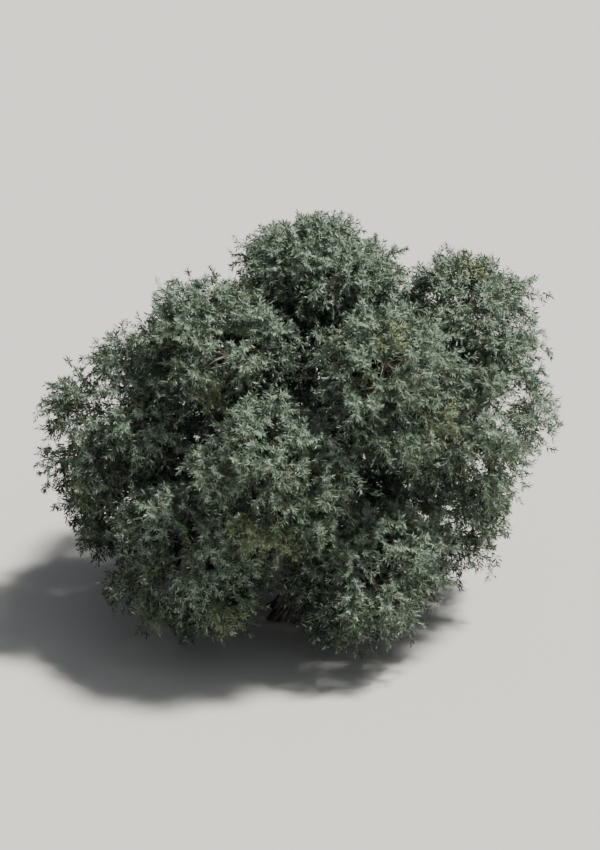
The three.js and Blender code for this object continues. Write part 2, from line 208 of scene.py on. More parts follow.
def even_shares(points, shares):
    """A curve's own shares for even shares of its length, from 200 chords."""
    steps = np.linspace(0, 1, 201)
    chords = np.linalg.norm(np.diff(bezier(points, steps), axis=0), axis=1)
    lengths = np.concatenate([[0], np.cumsum(chords)])
    return np.interp(np.asarray(shares) * lengths[-1], lengths, steps)


def trunk_axis(height):
    """The trunk's middle: straight at both ends, over by the lean at the top (3s^2 - 2s^3)."""
    share = np.minimum(np.asarray(height, float) / TRUNK["top"], 1)
    eased = share**2 * (3 - 2 * share)
    return np.stack([TRUNK["lean"][0] * eased, TRUNK["lean"][1] * eased, np.asarray(height, float)], axis=-1)


def trunk_radius(height, angle):
    """Waist, flare falling as e^-h, swelling growing as h^2, flutes that wind round, rounded head."""
    share = height / TRUNK["top"]
    flare = TRUNK["flare"] * np.exp(-height / TRUNK["flare_fall"])
    flute = TRUNK["flute_depth"] * (0.45 + 0.9 * np.exp(-height / (2 * TRUNK["flare_fall"])))
    turn = TRUNK["flutes"] * angle + TRUNK["twist"] * share * 2 + 0.7 * np.sin(2 * angle + share)
    over = np.maximum(0, (height - TRUNK["shoulder"]) / (TRUNK["top"] - TRUNK["shoulder"]))
    rounding = np.sqrt(np.maximum(0.03, 1 - over**2))
    return (TRUNK["waist"] + flare + TRUNK["head"] * share**2) * (1 + flute * np.cos(turn)) * rounding


# The rule of growth


def masses_of_crown():
    """Each mass of foliage as an ellipsoid: its centre on its tier's ring and its half sizes."""
    masses = []
    for t, tier in enumerate(TIERS):
        for i, carrier in enumerate(tier["carriers"]):
            turn = 360 / len(tier["carriers"]) * i + BEARING_JITTER * either(t, i, 1)
            bearing = math.radians(tier["bearing"] + turn)
            ring = tier["ring"] + RING_JITTER * either(t, i, 2)
            size = 1 + SIZE_JITTER * either(t, i, 3)
            height = tier["height"] + HEIGHT_JITTER * either(t, i, 4)
            depth_share = CROWN_DEPTH / CROWN_WIDTH
            x = tier["shift"] + ring * math.cos(bearing)
            y = ring * math.sin(bearing) * depth_share
            masses.append({
                "tier": tier["name"],
                "name": "top" if tier["name"] == "top" else f"{tier['name']}_{i + 1}",
                "carrier": carrier,
                "seed": 10 * t + i,
                "bearing": bearing,
                "centre": np.array([x, y, height]),
                "half": np.array([tier["half"], tier["half"] * depth_share, tier["rise"]]) * size,
            })
    for mass in masses:
        mass["walls"] = walls_of(mass, masses)
    return masses


def ellipsoid_reach(mass, ways):
    """How far a mass's ellipsoid goes from its centre: 1 / |way / half sizes|."""
    return 1 / np.linalg.norm(ways / mass["half"], axis=-1)


def walls_of(mass, masses):
    """The planes round a mass's space: one towards each neighbour, and the crown's six sides."""
    ways, distances = [], []
    for other in masses:
        if other is mass:
            continue
        apart = other["centre"] - mass["centre"]
        way = unit(apart)
        mine, theirs = ellipsoid_reach(mass, way), ellipsoid_reach(other, way)
        ways.append(way)
        distances.append(np.linalg.norm(apart) * mine / (mine + theirs) - SPACE_GAP / 2)
    x, y, z = mass["centre"]
    ways += [*np.eye(3), *-np.eye(3)]
    distances += [CROWN_WIDTH / 2 - x, CROWN_DEPTH / 2 - y, TREE_HEIGHT - z]
    distances += [CROWN_WIDTH / 2 + x, CROWN_DEPTH / 2 + y, z - SKIRT_CLEARANCE]
    return np.array(ways), np.array(distances)


def reach(mass, ways):
    """How far a mass's space goes from its centre: the ellipsoid, or the nearest wall before it."""
    ways = np.atleast_2d(ways)
    normals, distances = mass["walls"]
    along = ways @ normals.T
    to_walls = np.where(along > 1e-6, distances / np.maximum(along, 1e-6), np.inf)
    return np.minimum(ellipsoid_reach(mass, ways), to_walls.min(axis=1))


def is_inside(mass, points):
    """Whether points are in a mass's space."""
    out = points - mass["centre"]
    normals, distances = mass["walls"]
    in_walls = np.all(out @ normals.T <= distances, axis=-1)
    return in_walls & (np.linalg.norm(out / mass["half"], axis=-1) <= 1)


def limb_to(mass, start, outward, form, name):
    """A limb as a cubic curve that sets out along one way and comes into its mass along another."""
    inward = CROWN_HEART - mass["centre"]
    inward[2] = min(inward[2], form["above"])
    inward = unit(inward)
    entry = mass["centre"] + inward * form["entry"] * reach(mass, inward)[0]
    arrive = unit(mass["centre"] - entry) + UP * form["lift"]
    length = np.linalg.norm(entry - start)
    curve = np.array([
        start,
        start + unit(outward) * LIMB_HANDLES[0] * length,
        entry - unit(arrive) * LIMB_HANDLES[1] * length,
        entry,
    ])
    return {"name": name, "mass": mass, "curve": curve, "form": form, "length": length}


def limb_radius(limb, shares):
    """A limb's radius: from base to tip as (1 - share)^1.25."""
    form = limb["form"]
    return form["tip"] + (form["base"] - form["tip"]) * (1 - shares) ** 1.25


def limbs_of_crown(masses):
    """A scaffold limb to each mass at the waist, and a bough from one of them to each other mass."""
    scaffolds, boughs = [], []
    for mass in masses:
        if mass["tier"] != "waist":
            continue
        out = np.array([math.cos(mass["bearing"]), math.sin(mass["bearing"]), 0])
        start = trunk_axis(TRUNK["shoulder"]) + out * SCAFFOLD["outset"]
        number = mass["name"].split("_")[1]
        outward = out + UP * SCAFFOLD["rise"]
        scaffolds.append(limb_to(mass, start, outward, SCAFFOLD, f"scaffold_limb_{number}"))
    for mass in masses:
        if mass["tier"] == "waist":
            continue
        form = SKIRT_BOUGH if mass["tier"] == "skirt" else UPPER_BOUGH
        parent = scaffolds[mass["carrier"] - 1]
        start = bezier(parent["curve"], even_shares(parent["curve"], [form["leaves"]]))[0]
        out = unit((mass["centre"] - start) * [1, 1, 0])
        name = "top_bough" if mass["tier"] == "top" else mass["name"].replace("_", "_bough_")
        boughs.append(limb_to(mass, start, out + UP * form["rise"], form, name))
    return scaffolds + boughs


def limb_beads(limbs):
    """Points along the middle of the trunk and limbs, with the radius there."""
    heights = np.arange(0, TRUNK["top"], BEAD_STEP)
    points = [trunk_axis(heights)]
    radii = [trunk_radius(heights, 0) * (1 + TRUNK["flute_depth"])]
    for limb in limbs:
        shares = np.linspace(0, 1, math.ceil(limb["length"] / BEAD_STEP) + 1)
        points.append(bezier(limb["curve"], even_shares(limb["curve"], shares)))
        radii.append(limb_radius(limb, shares) * (1 + LIMB_RIPPLE))
    return np.concatenate(points), np.concatenate(radii)


def is_clear(beads, starts, ends, half_widths):
    """Whether a stretch from start to end, with a half width, stays clear of every limb."""
    points, radii = beads
    along = (ends - starts)[:, None]
    share = np.sum((points - starts[:, None]) * along, axis=-1) / np.sum(along**2, axis=-1)
    nearest = starts[:, None] + along * np.clip(share, 0, 1)[..., None]
    gaps = np.linalg.norm(points - nearest, axis=-1) - radii
    return np.all(gaps > half_widths[:, None] + LIMB_CLEARANCE, axis=1)


def ways_round(outward, count, cap, seed, salt):
    """Ways on a golden-angle spiral over a cap round the outward way, each a little off its place."""
    i = np.arange(count)
    high = 1 - (i + 0.5) / count * (1 - math.cos(cap))
    side = np.sqrt(1 - high**2)
    angle = i * GOLDEN_ANGLE + SWERVE * either(seed, i, salt)
    ways = np.stack([side * np.cos(angle), side * np.sin(angle), high], axis=-1)
    axis = np.cross(UP, outward)
    return turned(ways, unit(axis), np.full(count, math.atan2(np.linalg.norm(axis), outward[2])))


def spray_frames(root, way, length, key, twist):
    """A spray as its root, its way, its length and the two ways across it."""
    width_way = turned(side_of(way), way, twist)
    return {
        "root": root, "way": way, "length": length, "key": key,
        "width_way": width_way, "depth_way": np.cross(way, width_way),
    }


def twigs_of(mass, ways):
    """A mass's twigs, from its middle straight along their ways, and how each sways on its way."""
    room = reach(mass, ways)
    length = np.maximum(room - TWIG["short"] * SPRAY["length"], TWIG["least"] * room)
    k, seed = np.arange(len(ways)), mass["seed"]
    sway = unit(np.stack([either(k, seed, 21), either(k, seed, 22), np.full(len(ways), 0.8)], -1))
    return ways * length[:, None], sway * (TWIG["sway"] * length)[:, None]


def twig_points(mass, twigs, shares):
    """Points at shares of each twig, on its straight line and on its sway: 2 s (1 - s) of it."""
    along, sway = twigs
    shares = shares[None, :, None]
    straight = mass["centre"] + along[:, None] * shares
    return straight.reshape(-1, 3), (straight + 2 * shares * (1 - shares) * sway[:, None]).reshape(-1, 3)


def outer_sprays(mass, ways, twigs, beads):
    """The sprays that the solids have: from a twig to the edge of the mass's space."""
    centre, seed = mass["centre"], mass["seed"]
    i = np.arange(SPRAYS)
    is_end = i % 3 == 1
    straight, swayed = twig_points(mass, twigs, TWIG_SHARES)
    out = reach(mass, ways) * (EDGE["reach"] - EDGE["varies"] * chance(seed, i, 6))
    edges = centre + ways * out[:, None]
    lengths = SPRAY["length"] * (1 + SPRAY["varies"] * either(seed, i, 8))
    wished = edges - ways * lengths[:, None] + UP * SPRAY["droop"] * lengths[:, None]
    nearest = np.linalg.norm(straight[None] - wished[:, None], axis=-1).argmin(axis=1)
    roots, starts = straight[nearest], swayed[nearest]
    roots[is_end] = centre + twigs[0] - ways[is_end] * TWIG["sink"]
    starts[is_end] = roots[is_end]
    along = edges - roots
    lengths = np.minimum(np.linalg.norm(along, axis=1), SPRAY["most"] * lengths)
    spray = spray_frames(roots, unit(along), lengths, 100 * seed + i, math.pi * chance(seed, i, 7))
    fit = np.zeros(SPRAYS)
    for share in SPRAY_FITS[::-1]:
        length = (lengths * share)[:, None]
        tips = roots + spray["way"] * length
        good = is_inside(mass, tips) & is_clear(beads, roots, tips, 0.5 * SPRAY["width"] * length[:, 0])
        for corner in range(3):
            angle = 2 * math.pi * corner / 3
            wide = 0.5 * SPRAY["width"] * math.cos(angle) * spray["width_way"]
            deep = 0.5 * SPRAY["depth"] * math.sin(angle) * spray["depth_way"]
            good &= is_inside(mass, roots + (SPRAY["widest"] * spray["way"] + wide + deep) * length)
        fit = np.where(good, share, fit)
    spray["length"] = lengths * fit
    spray["root"] = starts
    twig = np.where(is_end, i // 3, nearest // len(TWIG_SHARES))
    spray["clump"] = 100 * seed + twig
    spray["mass_at"] = np.tile(centre, (SPRAYS, 1))
    return {name: values[fit > 0] for name, values in spray.items()}


def inner_sprays(mass, outward, twigs, beads):
    """Sprays all round the mass's middle, which end in the outer quarter of the way to its edge."""
    seed = mass["seed"]
    i = np.arange(INNER_SPRAYS)
    ways = ways_round(outward, INNER_SPRAYS, math.pi, seed, 11)
    out = reach(mass, ways) * (INNER_EDGE["reach"] - INNER_EDGE["varies"] * chance(seed, i, 12))
    edges = mass["centre"] + ways * out[:, None]
    starts = twig_points(mass, twigs, INNER_SHARES)[1]
    wished = mass["centre"] + ways * (INNER_EDGE["root"] * out)[:, None]
    roots = starts[np.linalg.norm(starts[None] - wished[:, None], axis=-1).argmin(axis=1)]
    along = edges - roots
    lengths = np.linalg.norm(along, axis=1)
    clear = is_clear(beads, roots, edges, np.full(INNER_SPRAYS, 2 * SHOOT["base"]))
    spray = spray_frames(roots, unit(along), lengths, 100 * seed + SPRAYS + i, math.pi * chance(seed, i, 13))
    spray["clump"] = spray["key"]
    spray["mass_at"] = np.tile(mass["centre"], (INNER_SPRAYS, 1))
    return {name: values[clear] for name, values in spray.items()}


def limb_sprays(limbs, beads):
    """Leafy sprays from the limbs themselves, round each in turn and a little upwards."""
    grown = []
    for number, limb in enumerate(limbs):
        count = round(limb["length"] * (1 - LIMB_SPRAY["from"]) / LIMB_SPRAY["apart"])
        i = np.arange(count)
        shares = np.linspace(LIMB_SPRAY["from"], 1, count)
        middle = bezier(limb["curve"], even_shares(limb["curve"], shares))
        tangent = unit(np.gradient(middle, axis=0))
        side = turned(side_of(tangent), tangent, i * GOLDEN_ANGLE + number)
        way = unit(side + LIMB_SPRAY["along"] * tangent + LIMB_SPRAY["rise"] * UP)
        key = 100 * (LIMB_SEED + number) + i
        length = LIMB_SPRAY["length"] * (1 + LIMB_SPRAY["varies"] * either(key, 15))
        spray = spray_frames(middle, way, length, key, math.pi * chance(key, 16))
        spray["clump"] = key
        spray["mass_at"] = middle
        ends = middle + way * length[:, None]
        from_there = middle + (ends - middle) * LIMB_SPRAY["clear"]
        clear = is_clear(beads, from_there, ends, np.full(count, 2 * SHOOT["base"]))
        grown.append({name: values[clear] for name, values in spray.items()})
    return gathered(grown)


# Meshes


def piece_from(name, vertices, faces, material, smooth=False):
    """A mesh object from an array of vertices and one of triangles or quads, at the origin."""
    mesh = bpy.data.meshes.new(name)
    corners = faces.shape[1]
    mesh.vertices.add(len(vertices))
    mesh.vertices.foreach_set("co", vertices.astype(np.float32).ravel())
    mesh.loops.add(faces.size)
    mesh.loops.foreach_set("vertex_index", faces.astype(np.int32).ravel())
    mesh.polygons.add(len(faces))
    mesh.polygons.foreach_set("loop_start", np.arange(0, faces.size, corners, dtype=np.int32))
    mesh.polygons.foreach_set("use_smooth", np.full(len(faces), smooth))
    mesh.update(calc_edges=True)
    mesh.materials.append(material)
    piece = bpy.data.objects.new(name, mesh)
    bpy.context.scene.collection.objects.link(piece)
    return piece


def thin_tubes(points, radii, sides=3):
    """Closed tubes: rings of a few corners square to each tube's chord, and a fan at each end.

    points is tubes x rings x 3 and radii is tubes x rings."""
    count, rings = radii.shape
    chord = unit(points[:, -1] - points[:, 0])
    across = side_of(chord)
    beside = np.cross(chord, across)
    angles = 2 * math.pi * np.arange(sides) / sides
    spokes = np.cos(angles)[:, None] * across[:, None] + np.sin(angles)[:, None] * beside[:, None]
    vertices = points[:, :, None] + radii[:, :, None, None] * spokes[:, None]
    first = (np.arange(count) * rings * sides)[:, None, None]
    ring = (np.arange(rings - 1) * sides)[None, :, None]
    here = np.arange(sides)[None, None]
    after = (here + 1) % sides
    a, b = first + ring + here, first + ring + after
    walls = np.concatenate([np.stack([a, b, b + sides], -1), np.stack([a, b + sides, a + sides], -1)], axis=2)
    fan = np.arange(1, sides - 1)
    foot = np.stack([np.zeros_like(fan), fan + 1, fan], -1)[None] + first
    tip = np.stack([np.zeros_like(fan), fan, fan + 1], -1)[None] + first + (rings - 1) * sides
    faces = np.concatenate([walls.reshape(-1, 3), foot.reshape(-1, 3), tip.reshape(-1, 3)])
    return vertices.reshape(-1, 3), faces


def spikes(start, end, radius):
    """Slim three-sided points, closed at the foot, from start to end."""
    way = unit(end - start)
    across = side_of(way)
    beside = np.cross(way, across)
    angles = 2 * math.pi * np.arange(3) / 3
    spokes = np.cos(angles)[:, None] * across[:, None] + np.sin(angles)[:, None] * beside[:, None]
    vertices = np.concatenate([start[:, None] + radius * spokes, end[:, None]], axis=1)
    sides = np.array([(0, 1, 3), (1, 2, 3), (2, 0, 3), (0, 2, 1)])
    faces = sides[None] + 4 * np.arange(len(start))[:, None, None]
    return vertices.reshape(-1, 3), faces.reshape(-1, 3)


def leaf_blades(leaves):
    """Leaves of two triangles: a lozenge, widest before its middle, folded up along the midrib."""
    sides = np.cross(leaves["normal"], leaves["way"])
    outline = ((0.0, 0.0), (0.42, 1.0), (1.0, 0.0), (0.42, -1.0))
    width = 0.5 * LEAF["width"] / LEAF["length"]
    corners = []
    for along, across in outline:
        lift = LEAF["fold"] * abs(across) * width
        offset = leaves["way"] * along + sides * across * width + leaves["normal"] * lift
        corners.append(leaves["root"] + offset * leaves["length"][:, None])
    vertices = np.stack(corners, axis=1).reshape(-1, 3)
    halves = np.array([(0, 2, 1), (0, 3, 2)])
    faces = (halves[None] + len(outline) * np.arange(len(sides))[:, None, None]).reshape(-1, 3)
    return vertices, faces


def joined(parts):
    """Several (vertices, faces) as one."""
    start, vertices, faces = 0, [], []
    for v, f in parts:
        vertices.append(v)
        faces.append(f + start)
        start += len(v)
    return np.concatenate(vertices), np.concatenate(faces)


def gathered(parts):
    """Rows of arrays of the same names as one row of arrays."""
    return {name: np.concatenate([part[name] for part in parts]) for name in parts[0]}


# Bark


def lumps(points, scale, seed):
    """Smooth unevenness from -1 to 1: crossed sines at three finer and fainter sizes."""
    total = np.zeros(points.shape[:-1])
    for octave, weight in enumerate((0.55, 0.3, 0.15)):
        grown = points * (scale * 2.03**octave) + seed * 1.7 + octave * 3.1
        x, y, z = grown[..., 0], grown[..., 1], grown[..., 2]
        bend = np.sin(y * 1.3 + z * 0.7)
        crossed = np.cos(y * 1.1 + np.sin(z + x * 0.6)) * np.cos(z * 0.9 + bend)
        total += weight * np.sin(x + 1.9 * bend) * crossed
    return total


def furrow_net(angle, along, per_round, per_metre, sharpness, seed):
    """Furrows from 0 to 1 that meet and part: where a sum of eight waves round and along the
    limb, each a whole number of times round, is nearly nothing: e^-(sum / sharpness)^2."""
    total = np.zeros(np.broadcast_shapes(angle.shape, along.shape))
    waves = 8
    for wave in range(waves):
        turns = max(2, round(per_round * (1 + 0.35 * either(seed, wave, 81))))
        rise = per_metre * either(seed, wave, 82)
        total += np.sin(turns * angle + rise * along + 2 * math.pi * chance(seed, wave, 83))
    return np.exp(-((total / math.sqrt(waves / 2) / sharpness) ** 2))


def bark_surface(middle, frames, radii, sides, seed, relief):
    """A closed tube of bark: rings round a curve, their radius swollen by lumps and cut by furrows.

    The ends close on the curve. With the points and triangles come the bark's own places, which
    meet round the limb as (cos a, sin a) of its mean radius and the way along, and the furrows."""
    across, beside = frames
    rings = len(middle)
    steps = np.linalg.norm(np.diff(middle, axis=0), axis=1)
    along = np.concatenate([[0], np.cumsum(steps)])[:, None]
    angle = (2 * math.pi * np.arange(sides) / sides)[None]
    radius = radii(along / along[-1], angle)
    mean_radius = radius[rings // 4 : -rings // 4].mean()
    spoke = np.cos(angle)[..., None] * across[:, None] + np.sin(angle)[..., None] * beside[:, None]
    ends = np.minimum(1, np.minimum(np.arange(rings), np.arange(rings)[::-1]) / 3)[:, None]
    swell = lumps(middle[:, None] + spoke * radius[..., None], 7.0, seed)
    plate = BARK["plate"]
    plates_round = 2 * math.pi * mean_radius / plate
    long_furrows = furrow_net(angle, along, 0.5 * plates_round, 2.2 / plate**0.5, 0.5, seed)
    cracks = furrow_net(angle, along, 0.35 * plates_round, 2.2 / plate, 0.3, seed + 40)
    furrows = np.maximum(long_furrows, 0.55 * cracks)
    radius = radius * (1 + 0.05 * swell * ends) + relief * (0.35 - furrows) * ends
    vertices = middle[:, None] + spoke * radius[..., None]
    ring = np.arange(rings - 1)[:, None] * sides
    here = np.arange(sides)[None]
    after = (here + 1) % sides
    quads = np.stack([ring + here, ring + after, ring + sides + after, ring + sides + here], -1)
    quads = quads.reshape(-1, 4)
    foot, tip = rings * sides, rings * sides + 1
    last_ring = foot - sides
    points = np.concatenate([vertices.reshape(-1, 3), middle[:1], middle[-1:]])
    bottom = np.stack([np.full(sides, foot), after[0], here[0]], -1)
    top = np.stack([np.full(sides, tip), last_ring + here[0], last_ring + after[0]], -1)
    triangles = np.concatenate([quads[:, [0, 1, 2]], quads[:, [0, 2, 3]], bottom, top])
    level = along + 0 * angle
    round_it = [mean_radius * np.cos(angle) + 0 * level, mean_radius * np.sin(angle) + 0 * level]
    places = np.stack([*round_it, level], -1).reshape(-1, 3)
    places = np.concatenate([places, [[0, 0, 0]], [[0, 0, along[-1, 0]]]])
    return points, triangles, places, np.concatenate([furrows.reshape(-1), [0, 0]])


def carried_frames(middle, turn=0.0):
    """Two unit ways across a curve at each point, carried along it with the least turning."""
    tangents = unit(np.gradient(middle, axis=0))
    across = np.empty_like(middle)
    across[0] = side_of(tangents[0])
    for i in range(1, len(middle)):
        across[i] = unit(across[i - 1] - tangents[i] * np.dot(across[i - 1], tangents[i]))
    across = turned(across, tangents, np.full(len(middle), turn))
    return across, np.cross(tangents, across)


def bark_piece(name, surface, material, node):
    """A bark surface as a piece, with its places and furrows as attributes for the material."""
    points, triangles, places, furrows = surface
    piece = piece_from(name, points, triangles, material, smooth=True)
    grain = piece.data.attributes.new("grain", "FLOAT_VECTOR", "POINT")
    grain.data.foreach_set("vector", places.astype(np.float32).ravel())
    furrow = piece.data.attributes.new("furrow", "FLOAT", "POINT")
    furrow.data.foreach_set("value", furrows.astype(np.float32))
    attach(piece, "root")
    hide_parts(node)


def make_trunk(material):
    """The trunk: the source's radius, with the bark's relief and burrs between the flutes."""
    rings = TRUNK_MESH["rings"]
    share = np.linspace(0, 1, rings)
    heights = TRUNK["top"] * (share * 0.82 + 0.18 * share**2)
    middle = trunk_axis(heights)
    level = (np.tile([1.0, 0, 0], (rings, 1)), np.tile([0, 1.0, 0], (rings, 1)))

    def radii(way, angle):
        high = np.broadcast_to(heights[:, None], (rings, angle.shape[1]))
        burrs = BARK["burr"] * np.maximum(0, np.sin(3 * angle + 9 * high) * np.sin(13 * high + 2 * angle))
        return trunk_radius(high, angle) + burrs * np.minimum(1, high / 0.1)

    surface = bark_surface(middle, level, radii, TRUNK_MESH["sides"], 3, TRUNK_MESH["relief"])
    bark_piece("trunk_bark", surface, material, "trunk")


def make_limb(limb, number, material):
    """A limb: its curve with a taper, a collar where it leaves its parent and the bark's relief."""
    is_scaffold = limb["form"] is SCAFFOLD
    mesh = SCAFFOLD_MESH if is_scaffold else BOUGH_MESH
    shares = np.linspace(0, 1, int(limb["length"] / mesh["step"]))
    middle = bezier(limb["curve"], even_shares(limb["curve"], shares))
    collar = mesh["collar"] * np.exp(-shares * limb["length"] / 0.12)

    def radii(way, angle):
        ripple = 1 + LIMB_RIPPLE * np.cos(2 * angle + 5 * way + limb["mass"]["seed"])
        return (limb_radius(limb, shares) + collar)[:, None] * ripple

    name = limb["name"].replace("limb", "bark") if is_scaffold else limb["name"] + "_bark"
    surface = bark_surface(middle, carried_frames(middle), radii, mesh["sides"], number + 5, mesh["relief"])
    bark_piece(name, surface, material, limb["name"])


# Foliage


def stem_and_twigs(masses, limbs, twigs):
    """The stem from each limb's tip to the middle of its mass, and the twigs from there outward."""
    limb_of = {limb["mass"]["name"]: limb for limb in limbs}
    shares = np.linspace(0, 1, 9)
    stems, stem_radii, twig_lines = [], [], []
    for mass, (along, sway) in zip(masses, twigs):
        limb = limb_of[mass["name"]]
        curve, tip_radius = limb["curve"], limb["form"]["tip"] * STEM["base"]
        start, arrive = curve[3], unit(curve[3] - curve[2])
        lift = start + arrive * STEM["handle"] * np.linalg.norm(mass["centre"] - start)
        stems.append(bezier([start - arrive * 0.02, lift, mass["centre"]], shares))
        stem_radii.append(tip_radius + (STEM["tip"] - tip_radius) * shares)
        twig_lines.append(twig_points(mass, (along, sway), shares)[1].reshape(len(along), len(shares), 3))
    lines = np.concatenate(twig_lines)
    radii = np.tile(TWIG["base"] + (TWIG["tip"] - TWIG["base"]) * shares, (len(lines), 1))
    return joined([thin_tubes(np.array(stems), np.array(stem_radii), 10), thin_tubes(lines, radii, 7)])


def shoots_of(spray, count):
    """The shoots of every spray, as quadratic curves: the first along its middle, the others
    leaving the first in turn, and all ending on a dome at golden-angle ways over a cap round the
    spray's way. Each is arched and hangs a little at its tip."""
    length, key = spray["length"][:, None], spray["key"]
    high = 1 - np.arange(count) / count * (1 - math.cos(DOME["cap"]))
    starts, bends, ends = [], [], []
    for q in range(count):
        if q == 0:
            start = spray["root"]
        else:
            share = SHOOT["parts"] + (SHOOT["last"] - SHOOT["parts"]) * q / count
            start = along_shoots(starts[0], bends[0], ends[0], np.array([share]))[0][:, 0]
        angle = (q * GOLDEN_ANGLE + SHOOT["swerve"] * either(key, q, 32))[:, None]
        across = np.cos(angle) * spray["width_way"] + np.sin(angle) * spray["depth_way"]
        out = high[q] * spray["way"] + math.sqrt(1 - high[q] ** 2) * across
        size = DOME["size"] * (1 + DOME["varies"] * either(key, q, 33))[:, None]
        end = spray["root"] + length * (DOME["middle"] * spray["way"] + size * out)
        end = end - UP * SHOOT["droop"] * length * (0.4 + 0.6 * chance(key, q, 34))[:, None]
        starts.append(start)
        lift = UP * SHOOT["arch"] + spray["way"] * SHOOT["ahead"]
        bends.append(0.5 * (start + end) + lift * length)
        ends.append(end)
    keys = key[:, None] * SHOOT_KEYS + np.arange(count)
    return [np.stack(points, 1).reshape(-1, 3) for points in (starts, bends, ends)] + [keys.reshape(-1)]


def along_shoots(start, bend, end, shares):
    """Points and ways of quadratic curves at shares: curves x shares x 3."""
    s = shares[None, :, None]
    start, bend, end = start[:, None], bend[:, None], end[:, None]
    points = (1 - s) ** 2 * start + 2 * s * (1 - s) * bend + s**2 * end
    ways = unit((1 - s) * (bend - start) + s * (end - bend))
    return points, ways


def leaf_pairs(points, ways, keys, size, shoot):
    """Leaves in pairs at points on a twig, each pair turned a quarter from the one before.

    A leaf leans forward from the twig, hangs a little, and its blade faces along the twig."""
    nodes = points.shape[1]
    node = np.arange(nodes)[None]
    key = keys[:, None]
    angle = 0.5 * math.pi * node + 0.7 * either(key, node, 41) + 2 * math.pi * chance(key, 42)
    across = turned(side_of(ways), ways, angle)
    pairs = []
    for turn in (1, -1):
        side = turn * across
        lean = LEAF["lean"] * (1 + 0.3 * either(key, node, 43 + turn))[..., None]
        way = unit(ways * np.cos(lean) + side * np.sin(lean) - LEAF["hang"] * UP)
        normal = ways * np.sin(lean) - side * np.cos(lean) + LEAF["face_up"] * UP
        normal = unit(normal - way * np.sum(normal * way, axis=-1, keepdims=True))
        normal = turned(normal, way, LEAF["roll"] * either(key, node, 46 + turn))
        length = LEAF["length"] * size * (1 + LEAF["varies"] * either(key, node, 49 + turn))
        pairs.append({
            "root": points.reshape(-1, 3),
            "way": way.reshape(-1, 3),
            "normal": normal.reshape(-1, 3),
            "length": length.reshape(-1),
            "is_silver": (chance(key, node, 52 + turn) < UNDERSIDES).reshape(-1),
            # leaves near their twig's foot, which take painted shade
            "is_near_foot": np.tile(np.linspace(0, 1, nodes) < LEAF["foot"], len(keys)),
            "shoot": np.repeat(shoot, nodes),
        })
    return gathered(pairs)


def side_twigs_of(start, bend, end, keys, growth):
    """Where every side twig starts and ends: in turn round its shoot, and shorter towards its tip."""
    shares = np.linspace(growth["leafy"], SIDE_TWIG["last"], growth["sides"])
    at, ways = along_shoots(start, bend, end, shares)
    key, number = keys[:, None], np.arange(growth["sides"])[None]
    angle = number * GOLDEN_ANGLE + 2 * math.pi * chance(key, 61) + 0.4 * either(key, number, 62)
    side = turned(side_of(ways), ways, angle)
    lean = SIDE_TWIG["lean"] * (1 + 0.25 * either(key, number, 63))[..., None]
    way = unit(ways * np.cos(lean) + side * np.sin(lean) + SIDE_TWIG["rise"] * UP)
    shoot_lengths = np.linalg.norm(end - start, axis=1)[:, None]
    long = SIDE_TWIG["length"] * (1 + 0.3 * either(key, number, 64))
    long = long * np.minimum(1, shoot_lengths / SIDE_TWIG["full_on"])
    long = long * (SIDE_TWIG["at_foot"] - SIDE_TWIG["shorter"] * shares)[None]
    return at.reshape(-1, 3), (at + way * long[..., None] - SIDE_TWIG["droop"] * UP).reshape(-1, 3)


def grow(spray, growth):
    """Every shoot, side twig and leaf of a row of sprays, and the shoots' ends and keys."""
    start, bend, end, keys = shoots_of(spray, growth["shoots"])
    points, _ = along_shoots(start, bend, end, SHOOT_RINGS)
    radii = np.tile(SHOOT["base"] + (SHOOT["tip"] - SHOOT["base"]) * SHOOT_RINGS, (len(start), 1))
    foot, tip = side_twigs_of(start, bend, end, keys, growth)
    woody = joined([thin_tubes(points, radii), spikes(foot, tip, SIDE_TWIG["radius"])])

    shoot = np.arange(len(start))
    shares = np.linspace(growth["leafy"], 1.0, growth["shoot_pairs"])
    points, ways = along_shoots(start, bend, end, shares)
    sizes = growth["leaf"] * (LEAF["on_shoots"] - LEAF["smaller"] * shares[None])
    from_shoots = leaf_pairs(points, ways, keys, sizes, shoot)

    sides = growth["sides"]
    shares = np.linspace(SIDE_TWIG["bare"], 1.0, growth["side_pairs"])
    points = foot[:, None] + (tip - foot)[:, None] * shares[None, :, None]
    ways = np.broadcast_to(unit(tip - foot)[:, None], points.shape)
    side_keys = (keys[:, None] * 7 + np.arange(sides)).reshape(-1)
    sizes = growth["leaf"] * (1.0 - LEAF["smaller"] * shares[None])
    from_sides = leaf_pairs(points, ways, side_keys, sizes, np.repeat(shoot, sides))
    return woody, gathered([from_shoots, from_sides]), end, keys


# Colour and roughness of the leaves, from the deepest tone up, and the share of the outer and of
# the inner shoots that has each. The tones are painted light and shade: the paler ones go to the
# shoots that stand out to the light, the deeper ones to those turned away and in, and the inner
# shoots take more of the deeper ones, as painted shade inside the crown
LEAF_TONES = (
    ("deep", (0.032, 0.052, 0.036), 0.5, (0.16, 0.32)),
    ("olive", (0.074, 0.108, 0.064), 0.5, (0.2, 0.32)),
    ("grey_green", (0.12, 0.172, 0.12), 0.52, (0.28, 0.22)),
    ("pale", (0.193, 0.264, 0.196), 0.55, (0.36, 0.14)),
)
YOUNG = ("young", (0.176, 0.22, 0.115), 0.5)
SILVER = ("silver", (0.32, 0.385, 0.325), 0.6)
DEEP, YOUNGEST, SILVERY = 0, len(LEAF_TONES), len(LEAF_TONES) + 1
YOUNG_SPRAYS = 0.06  # share of the outer sprays whose leaves are young
# the painted light on the leaf tones comes from this way, near the key lamp's
LIT_WAY = unit([0.45, -0.1, 0.88])  # where the leaves get most of their light from


